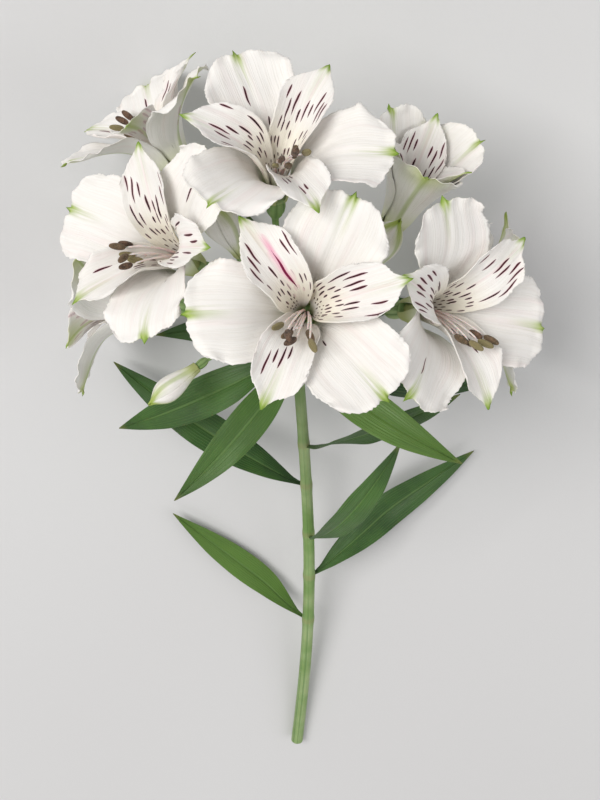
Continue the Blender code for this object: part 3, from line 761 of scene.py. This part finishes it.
wax.wash(THROAT_OLIVE, wax.rise(wax_along, 0.22, 0.05), 0.85)

# The dashes, and the one magenta streak, which keeps the space beside it clear of them.
long_core, long_halo = dashes(**LONG_DASHES)
mid_core, mid_halo = dashes(**MID_DASHES)
fine_core, _ = dashes(**FINE_DASHES)
wax.wash(HALO_PINK, wax.calc("MAXIMUM", long_halo, mid_halo), 0.36)
streak_bend = wax.noise(wax.vector(wax.product(wax_rise, 0.12), wax_chance, 0.0), 1.0, 0.0)
streak_middle = wax.calc("MULTIPLY_ADD", streak_bend, 3.0, 0.2)
streak_off = wax.calc("ABSOLUTE", wax.calc("SUBTRACT", wax_side, streak_middle))
streak_girth = wax.product(wax.within(wax_rise, STREAK_ZONE), STREAK_GIRTH)
streak_clear = wax.product(wax.rise(streak_off, 2.6, 1.8), wax_streak)
wax.wash(STREAK_PINK, wax.rise(streak_off, 1.6, 0.2), wax.within(wax_rise, STREAK_BLUSH_ZONE),
         wax_streak, 0.6)
dash_colour = wax.layer(wax.rise(wax_along, 0.26, 0.44), DASH_BROWN, DASH_DARK)
dash_colour = wax.layer(wax.rise(wax_along, 0.45, 0.80), dash_colour, DASH_RED)
wax_core = wax.calc("MAXIMUM", long_core, wax.calc("MAXIMUM", mid_core, fine_core))
wax.wash(dash_colour, wax_core, wax.calc("MULTIPLY_ADD", wax_back, -0.75, 1.0),
         wax.calc("SUBTRACT", 1.0, streak_clear))
wax.wash(STREAK_MAGENTA, wax.calc("LESS_THAN", streak_off, streak_girth), wax_streak)

wax_height = wax.total((wax_folds, 0.44), (wax_grain, 0.10), (wax_veins, 0.10))
wax.cover(wax_height, 0.4 * MM, wax.rise(wax_cloud, -1.4, 2.0))


def midrib(form, lean, share):
    """Distance from the flower's axis, height and lean of the midrib at a share of its length."""
    radius, height = form["root_radius"], ROOT_HEIGHT
    first, last = math.radians(lean[0]), math.radians(lean[1])
    for i in range(MIDRIB_STEPS):
        angle = first + (last - first) * smooth(*CURL_ZONE, share * (i + 0.5) / MIDRIB_STEPS)
        radius = radius + np.sin(angle) * share * form["length"] / MIDRIB_STEPS
        height = height + np.cos(angle) * share * form["length"] / MIDRIB_STEPS
    return radius, height, first + (last - first) * smooth(*CURL_ZONE, share)


def outline(form, across, along):
    """Sideways distance and share of the length: a claw that widens to an oval top with a small point."""
    length, widest = form["length"], form["widest"]
    root, full = form["root_width"] / 2, form["width"] / 2
    claw = root + (full - root) * np.sin(np.pi / 2 * np.minimum(along / widest, 1)) ** form["taper"]
    over = np.clip((along - widest) / (1 - widest), 0, 1)
    drawn_in = (1 - np.cos((np.pi / 2 - TIP_ANGLE) * over)) / (1 - math.sin(TIP_ANGLE))
    side = claw * ((1 - drawn_in) * across + drawn_in * np.sin(TIP_ANGLE * across))
    bent = 2 * (1 - np.cos(TIP_ANGLE * across))
    top = 1 - widest - form["point"] / length
    share = np.minimum(along, widest) + top * (over + (np.sin((np.pi / 2 - TIP_ANGLE) * over) - over) * bent)
    pointed = np.exp(-np.abs(side / form["point_width"]) ** 1.3)
    share += form["point"] / length * smooth(0.3, 1, over) * pointed
    share -= form["notch"] / length * smooth(0.6, 1, over) * np.exp(-(side / NOTCH_WIDTH) ** 2)
    return side, share


def wrapped(form, across, along, loose):
    """How far a tepal's margins stand towards the flower's axis.

    Low down, and all the way up in a half-open flower, one margin lies outside its neighbour and the other
    inside. Higher up, both margins of an inner tepal stand in front of the outer ones.
    """
    low = np.maximum(smooth(form["parting"] + 0.13, form["parting"], along), 1 - loose)
    spread = across * low + form["clear"] * np.abs(across) * (1 - low)
    return TEPAL_WRAP * spread * smooth(0, 0.25, along)


def tepal(name, kind, lean, turn, wave, matrix, chance, openness):
    """One tepal, curved out from the flower's axis, with its fine waves, teeth and marks."""
    form = kind["form"]
    length = form["length"]
    loose = smooth(*LOOSE_ZONE, openness)
    piece, across, along = sheet(name, TEPAL_COLUMNS, TEPAL_ROWS)
    side, share = outline(form, across, along)
    row = np.rint(along * TEPAL_ROWS).astype(int)
    column = np.rint((across + 1) / 2 * TEPAL_COLUMNS).astype(int)
    hand = np.sign(across)
    teeth = chance.uniform(-1, 1, (3, TEPAL_ROWS + 1))
    edge = smooth(0.8, 1, np.abs(across)) * smooth(0.4, 0.7, along)
    side = side + hand * TOOTH * teeth[(across > 0).astype(int), row] * edge
    share = share + TOOTH / length * teeth[2, column] * smooth(0.93, 1, along)
    side = side * (1 + 0.045 * np.sin(11 * along + 2 * hand + wave) * smooth(0.3, 0.6, along))
    share = share + (WAVER / length * np.sin(5 * across + 2 * wave) * np.abs(across)
                     * smooth(0.5, 1, along))

    # The section curves round the axis, or less where the tepal leans out, and its margins wrap and wave.
    radius, height, angle = midrib(form, lean, share)
    hollow = (form["cup"] - 1) * smooth(0.1, 0.6, along) * loose
    cone = loose + (1 - loose) * np.cos(angle)
    cup = (1 + hollow) * cone / np.maximum(radius, 2 * MM)
    lift = (1 - np.cos(side * cup)) / cup
    ruffle = loose * form["ruffle"] * smooth(0.55, 1, along) * np.abs(across) ** 3
    lift += ruffle * (np.sin(wave + 9 * along * hand) - 0.4 + 0.4 * form["clear"])
    forward = wrapped(form, across, along, loose) + kind["ahead"] * loose * smooth(0.25, 0.5, along)
    lift += forward * np.cos(side * cup)
    rim = np.maximum(across ** 4, smooth(0.82, 1, along) ** 2) * smooth(0.4, 0.7, along)
    lift += form["crinkle"] * rim * (0.6 * np.sin(27 * along * hand + 2.3 * wave)
                                     + 0.5 * np.sin(14 * across + 5 * wave))
    billow = BILLOW * loose * smooth(0.25, 0.5, along)
    lift += billow * np.sin(2.6 * across + 3 * along + wave) * np.sin(6 * along + 2 * wave)
    lift += FINE_FOLD * np.cos(16 * across + wave) * smooth(0.15, 0.4, along)
    lift -= form["groove"] * np.exp(-(side / GROOVE_WIDTH) ** 2) * smooth(0.1, 0.3, along)
    lift -= HOOK * np.exp(-(side / HOOK_WIDTH) ** 2) * smooth(0.93, 1, along) ** 2
    aside = np.sin(side * cup) * (1 / cup - forward)
    points = np.stack((aside, radius - np.cos(angle) * lift, height + np.sin(angle) * lift), 1)
    front = np.stack((0 * side, -np.cos(angle), np.sin(angle)), 1)
    spin = np.array(Matrix.Rotation(-math.radians(turn), 3, "Z"))
    place = np.array(matrix)
    points = points @ spin.T @ place[:3, :3].T + place[:3, 3]
    front = front @ spin.T @ place[:3, :3].T
    lay(piece, landed(points, TEPAL_LANDING))
    thickened(piece, TEPAL_THICKNESS, 1 - 0.55 * rim)

    half = outline(form, np.ones_like(along), along)[0]
    marks = np.stack((side, share * length, half), 1) / MM
    mark(piece, "place", np.tile(marks, (2, 1)))
    mark(piece, "habit", (kind["inner"], kind["spots"], chance.uniform(0, 90)))
    mark(piece, "back", behind(piece, front))
    piece.data.materials.append(wax.material)
    return piece


def bloom_matrix(bloom):
    """From the flower's own axes, with +Z out of its mouth and +Y to its top tepal, to the stem's."""
    end, faces = bloom_place(bloom)
    top = (KNOT_HEADING - faces * KNOT_HEADING.dot(faces)).normalized()
    axes = Matrix((top.cross(faces), top, faces)).transposed()
    turned = axes @ Matrix.Rotation(-math.radians(bloom["turn"]), 3, "Z")
    return Matrix.Translation(end + faces * GAP) @ turned.to_4x4() @ Matrix.Scale(bloom["size"], 4)


def tepal_leans(form, extra, openness, draw):
    """How the tepal leans at its root and tip: a flower that isn't open yet keeps them near its axis."""
    low, high = form["lean"]
    own = (extra + draw.uniform(-4, 4)) * smooth(*LOOSE_ZONE, openness)
    return low * (0.35 + 0.65 * openness), 4 + (high + own - 4) * openness


def joined(name, pieces):
    bpy.ops.object.select_all(action="DESELECT")
    for piece in pieces:
        piece.select_set(True)
    bpy.context.view_layer.objects.active = pieces[0]
    bpy.ops.object.join()
    pieces[0].name = name
    pieces[0].data.name = name
    return pieces[0]


for name, bloom in BLOOMS.items():
    draw = random.Random(f"{SEED}{name}")
    chance = np.random.RandomState(SEED + int(name[-1]))
    matrix = bloom_matrix(bloom)
    tepals = []
    for number, kind in TEPALS.items():
        lean = tepal_leans(kind["form"], kind["extra"], bloom["open"], draw)
        turn = kind["turn"] + draw.uniform(-3, 3)
        wave = draw.uniform(0, 6)
        piece = tepal(f"{name}_tepal_{number}", kind, lean, turn, wave, matrix, chance, bloom["open"])
        mark(piece, "streak", float(number == 4 and name in STREAKED))
        tepals.append(piece)
    collar_heights = np.array(COLLAR_HEIGHTS) * MM + np.arange(6) * 0.01 * MM
    collar_radii = np.array(COLLAR_RADII) * MM * bloom["size"]
    collar_line = [matrix @ Vector((0, 0, height)) for height in collar_heights]
    collar = tube(name + "_collar", collar_line, collar_radii, 24)
    collar.data.materials.append(stalk.material)
    petals = joined(name + "_petals", tepals + [collar])
    fix(petals, name + "_tepals")

# Stamens. Six slender filaments, pink at the foot and white above, rise from the collar and sag over the
# lowest tepal. Each ends in a dusty brown or olive anther of two lobes, bent a little out of line.
# Between them lies the style, which parts into three short tips.

FILAMENT_RADIUS = 0.42 * MM
FILAMENT_RING = 0.95 * MM
FILAMENT_REACHES = (27, 32.5, 33.5, 27, 28, 33.5)
FILAMENT_SPREAD = 1.55 * MM
FILAMENT_FAN = (1.5, 2.5, 0.5, -0.5, -2.5, -1.5)
FILAMENT_SAG = 0.36
FILAMENT_ROWS = 18
STAMEN_FOOT = 3.1 * MM
STYLE_LENGTH = 25 * MM
ANTHER_LENGTH = 5.6 * MM
ANTHER_WIDTH = 2.3 * MM
ANTHER_STEPS = 15
ANTHER_BEND = 40
ANTHER_OLIVES = (0.0, 0.15, 0.75)
STIGMA_LENGTH = 2.4
STIGMA_SPREAD = 0.9
STIGMA_TENTHS = (0, 3, 3, 3, 3, 2.6, 2, 0)
FILAMENT_WHITE = (0.80, 0.72, 0.69, 1)
FILAMENT_PINK = (0.60, 0.30, 0.30, 1)
POLLEN_BROWN = (0.150, 0.085, 0.055, 1)
POLLEN_DARK = (0.060, 0.036, 0.026, 1)
POLLEN_OLIVE = (0.270, 0.240, 0.110, 1)
POLLEN_DUST = (0.420, 0.330, 0.230, 1)

thread = Finish("filament_skin", FILAMENT_WHITE, gloss=0.4, glow=0.2)
thread_cloud = thread.noise(thread.spot(), 400.0, 2.0)
thread.wash(FILAMENT_PINK, thread.rise(thread.chart()[1], 0.75, 0.1), 0.55)
thread.wash(FILAMENT_PINK, thread.rise(thread_cloud, 0.45, 0.7), 0.2)
thread.cover(thread_cloud, 0.1 * MM, thread.rise(thread_cloud, -0.8, 1.4))

pollen = Finish("anther_pollen", POLLEN_DARK, gloss=0.2)
pollen.shader.inputs["Sheen Weight"].default_value = 0.15
pollen_spot = pollen.spot()
pollen_grain = pollen.noise(pollen_spot, 4200.0, 3.0)
pollen_cloud = pollen.noise(pollen_spot, 700.0, 2.0)
pollen.wash(POLLEN_BROWN, pollen.rise(pollen_cloud, 0.35, 0.65))
pollen.wash(POLLEN_OLIVE, pollen.kept("olive"))
pollen.wash(POLLEN_DUST, pollen.rise(pollen_grain, 0.52, 0.7), 0.45)
pollen.cover(pollen_grain, 0.25 * MM, pollen.rise(pollen_grain, -2.5, 1.0))


def filament_place(turn, reach, spread, sag, t):
    """A place on a filament in the flower's own axes: up from the ring, then sagging to the lower tepal."""
    x, y = math.sin(turn) * FILAMENT_RING, math.cos(turn) * FILAMENT_RING
    return Vector((
        x * (1 - 0.4 * t) + spread * t ** 1.5,
        y * (1 - 0.5 * t) - reach * sag * t ** 2.4,
        STAMEN_FOOT + reach * t * (1 - 0.14 * t),
    ))


def two_lobes(angle, along):
    return 0.92 + 0.16 * np.cos(2 * angle) - 0.20 * np.exp(-((np.abs(angle) - np.pi / 2) / 0.3) ** 2)


for name, bloom in BLOOMS.items():
    draw = random.Random(f"{SEED}{name}pollen")
    matrix = bloom_matrix(bloom)
    sag = FILAMENT_SAG * bloom["open"] ** 2
    shares = np.linspace(0, 1, FILAMENT_ROWS)
    threads, anthers = [], []
    for number in range(6):
        turn = 2 * math.pi * (number + 0.5) / 6
        fan = FILAMENT_FAN[number] + draw.uniform(-0.2, 0.2)
        spread = fan * FILAMENT_SPREAD * (0.3 + 0.7 * bloom["open"])
        reach = (FILAMENT_REACHES[number] + draw.uniform(-0.6, 0.6)) * MM * (0.7 + 0.3 * bloom["open"])
        own_sag = sag * draw.uniform(0.68, 0.93)
        line = [matrix @ filament_place(turn, reach, spread, own_sag, t) for t in shares]
        radii = FILAMENT_RADIUS * (1.05 - 0.35 * shares)
        radii[[0, -1]] = 0
        threads.append(tube(f"{name}_filament_{number}", line, radii, 8))
        hinge = draw.choice([Vector((1, 0, 0)), Vector((0, 1, 0))])
        bend = Quaternion(hinge, math.radians(draw.uniform(-ANTHER_BEND, ANTHER_BEND)))
        tip = filament_place(turn, reach, spread, own_sag, 1)
        way = bend @ (tip - filament_place(turn, reach, spread, own_sag, 2 / 3)).normalized()
        lengths = (1 - np.cos(np.linspace(0, math.pi, ANTHER_STEPS))) / 2
        anther_line = [matrix @ (tip + way * (share - 0.04) * ANTHER_LENGTH) for share in lengths]
        girths = np.maximum(1 - (2 * lengths - 1) ** 2, 0) ** 0.42 * (1 - 0.12 * lengths)
        anther = tube(f"{name}_anther_{number}", anther_line, girths * ANTHER_WIDTH / 2, 20, two_lobes)
        mark(anther, "olive", ANTHER_OLIVES[(number + int(name[-1])) % 3])
        anthers.append(anther)
    style = []
    for t in shares:
        place = filament_place(0, STYLE_LENGTH, 0, sag, t)
        style.append(matrix @ Vector((0, 0.7 * (place.y - FILAMENT_RING), place.z)))
    style_radii = FILAMENT_RADIUS * (1.15 - 0.35 * shares)
    style_radii[[0, -1]] = 0
    threads.append(tube(name + "_style", style, style_radii, 8))
    style_way = (style[-1] - style[-3]).normalized()
    for number in range(3):
        out = matrix.to_3x3() @ direction(120 * number, 0).xzy
        tips = []
        for t in np.linspace(0, 1, len(STIGMA_TENTHS)):
            tips.append(style[-2] + style_way * STIGMA_LENGTH * MM * t + out * STIGMA_SPREAD * MM * t ** 2)
        threads.append(tube(f"{name}_stigma_{number}", tips, np.array(STIGMA_TENTHS) * 0.1 * MM, 8))
    for piece in threads:
        piece.data.materials.append(thread.material)
    for piece in anthers:
        piece.data.materials.append(pollen.material)
    fix(joined(name + "_filaments", threads), name + "_stamens")
    fix(joined(name + "_anthers", anthers), name + "_stamens")

# Buds. Each is three outer tepals still closed round one another, so that one's edge lies over the next.
# Their backs show: white with a blush, green up the keel, and a green point where they meet.

BUD_RADIUS = 6.0 * MM
BUD_COLUMNS = 30
BUD_ROWS = 44
BUD_SPAN = math.radians(76)
BUD_TWIST = math.radians(22)
BUD_WRAP = 0.3 * MM

for name, bud in BUDS.items():
    root, heading, foot = bud_place(bud)
    length, radius = bud["length"] * MM, BUD_RADIUS * bud["size"]
    turned = heading.to_track_quat("Z", "Y").to_matrix()
    draw = random.Random(f"{SEED}{name}petals")
    petals = []
    for number in range(3):
        piece, across, along = sheet(f"{name}_tepal_{number}", BUD_COLUMNS, BUD_ROWS)
        belly = 0.42 + 0.58 * smooth(0, 0.6, along)
        girth = belly * np.cos(np.pi / 2 * smooth(0.55, 1.05, along)) ** 0.8
        angle = math.radians(120 * number) + BUD_TWIST * along + BUD_SPAN * across
        out = radius * girth * (1.0 - 0.05 * (1 - across ** 2) * (0.4 - along))
        out += BUD_WRAP * across * smooth(1.0, 0.8, along)
        out += 0.25 * MM * np.exp(-(across / 0.10) ** 2) * smooth(0.1, 0.4, along) * smooth(1.02, 0.9, along)
        out += 0.12 * MM * np.sin(9 * across + 5 * along + number) * smooth(0.55, 0.35, np.abs(across))
        out = np.maximum(out, 0.05 * MM)
        rise = along * length + 0.9 * MM * np.exp(-(across / 0.22) ** 2) * smooth(0.93, 1, along)
        points = np.stack((out * np.cos(angle), out * np.sin(angle), rise), 1)
        points = points @ np.array(turned).T + np.array(foot + heading * 0.1 * MM)
        lay(piece, points)
        thickened(piece, TEPAL_THICKNESS, 1 - 0.5 * across ** 2)
        half = radius * girth * BUD_SPAN / MM
        marks = np.stack((across * half, along * length / MM, half), 1)
        mark(piece, "place", np.tile(marks, (2, 1)))
        mark(piece, "habit", (0.0, 0.0, draw.uniform(0, 90)))
        mark(piece, "back", 1.0)
        mark(piece, "streak", 0.0)
        piece.data.materials.append(wax.material)
        petals.append(piece)
    fix(joined(name + "_petals", petals), name)

# The table and the light. The stem lies on a plain pale surface in soft, even daylight from a wide window
# above its head, with a weaker fill from the other side. The camera looks down at it over the umbel.

FLOOR_GREY = (0.645, 0.650, 0.660, 1)
FLOOR_SHADE = (0.62, 0.62, 0.63, 1)
VIEW = Vector((0, 0.438, 0.899)).normalized()
TARGET = Vector((0, 0.033, 0.035))
DISTANCE = 0.442
LENS = 50
LIT_PLACE = Vector((0, 0.06, 0.05))
SKY = (1.0, 0.99, 0.975, 1)
SKY_STRENGTH = 0.38

tabletop = Finish("table_top", FLOOR_GREY, gloss=0.3)
tabletop_spot = tabletop.spot()
tabletop_grain = tabletop.noise(tabletop_spot, 900.0, 2.0)
tabletop.wash(FLOOR_SHADE, tabletop.rise(tabletop.noise(tabletop_spot, 3.0, 2.0), 0.3, 0.7))
tabletop.cover(tabletop_grain, 0.05 * MM, tabletop.rise(tabletop_grain, -2.0, 1.5))
bpy.ops.object.select_all(action="DESELECT")
bpy.ops.mesh.primitive_plane_add(size=6)
floor = bpy.context.object
floor.name = "table_top"
floor.data.materials.append(tabletop.material)


def softbox(name, place, size, power, colour):
    """A square light that faces the umbel."""
    bpy.ops.object.light_add(type="AREA", location=place)
    light = bpy.context.object
    light.name = name
    light.data.size = size
    light.data.energy = power
    light.data.color = colour
    light.rotation_mode = "QUATERNION"
    light.rotation_quaternion = (Vector(place) - LIT_PLACE).to_track_quat("Z", "Y")


softbox("window_light", (-1.0, 0.85, 1.6), 1.1, 31, (1.0, 0.98, 0.95))
softbox("fill_light", (1.5, -0.2, 1.2), 1.4, 9, (1.0, 0.99, 0.98))
softbox("low_light", (0.1, -1.5, 1.0), 1.3, 5, (1.0, 0.98, 0.96))
world = bpy.data.worlds.new("daylight")
world.use_nodes = True
world.node_tree.nodes["Background"].inputs["Color"].default_value = SKY
world.node_tree.nodes["Background"].inputs["Strength"].default_value = SKY_STRENGTH
bpy.context.scene.world = world
bpy.context.scene.view_settings.view_transform = "Standard"

bpy.ops.object.camera_add(location=TARGET + VIEW * DISTANCE)
camera = bpy.context.object
camera.name = "camera"
right = Vector((1, 0, 0))
camera.rotation_mode = "QUATERNION"
camera.rotation_quaternion = Matrix((right, VIEW.cross(right), VIEW)).transposed().to_quaternion()
camera.data.lens = LENS
camera.data.clip_start = 0.01
bpy.context.scene.camera = camera
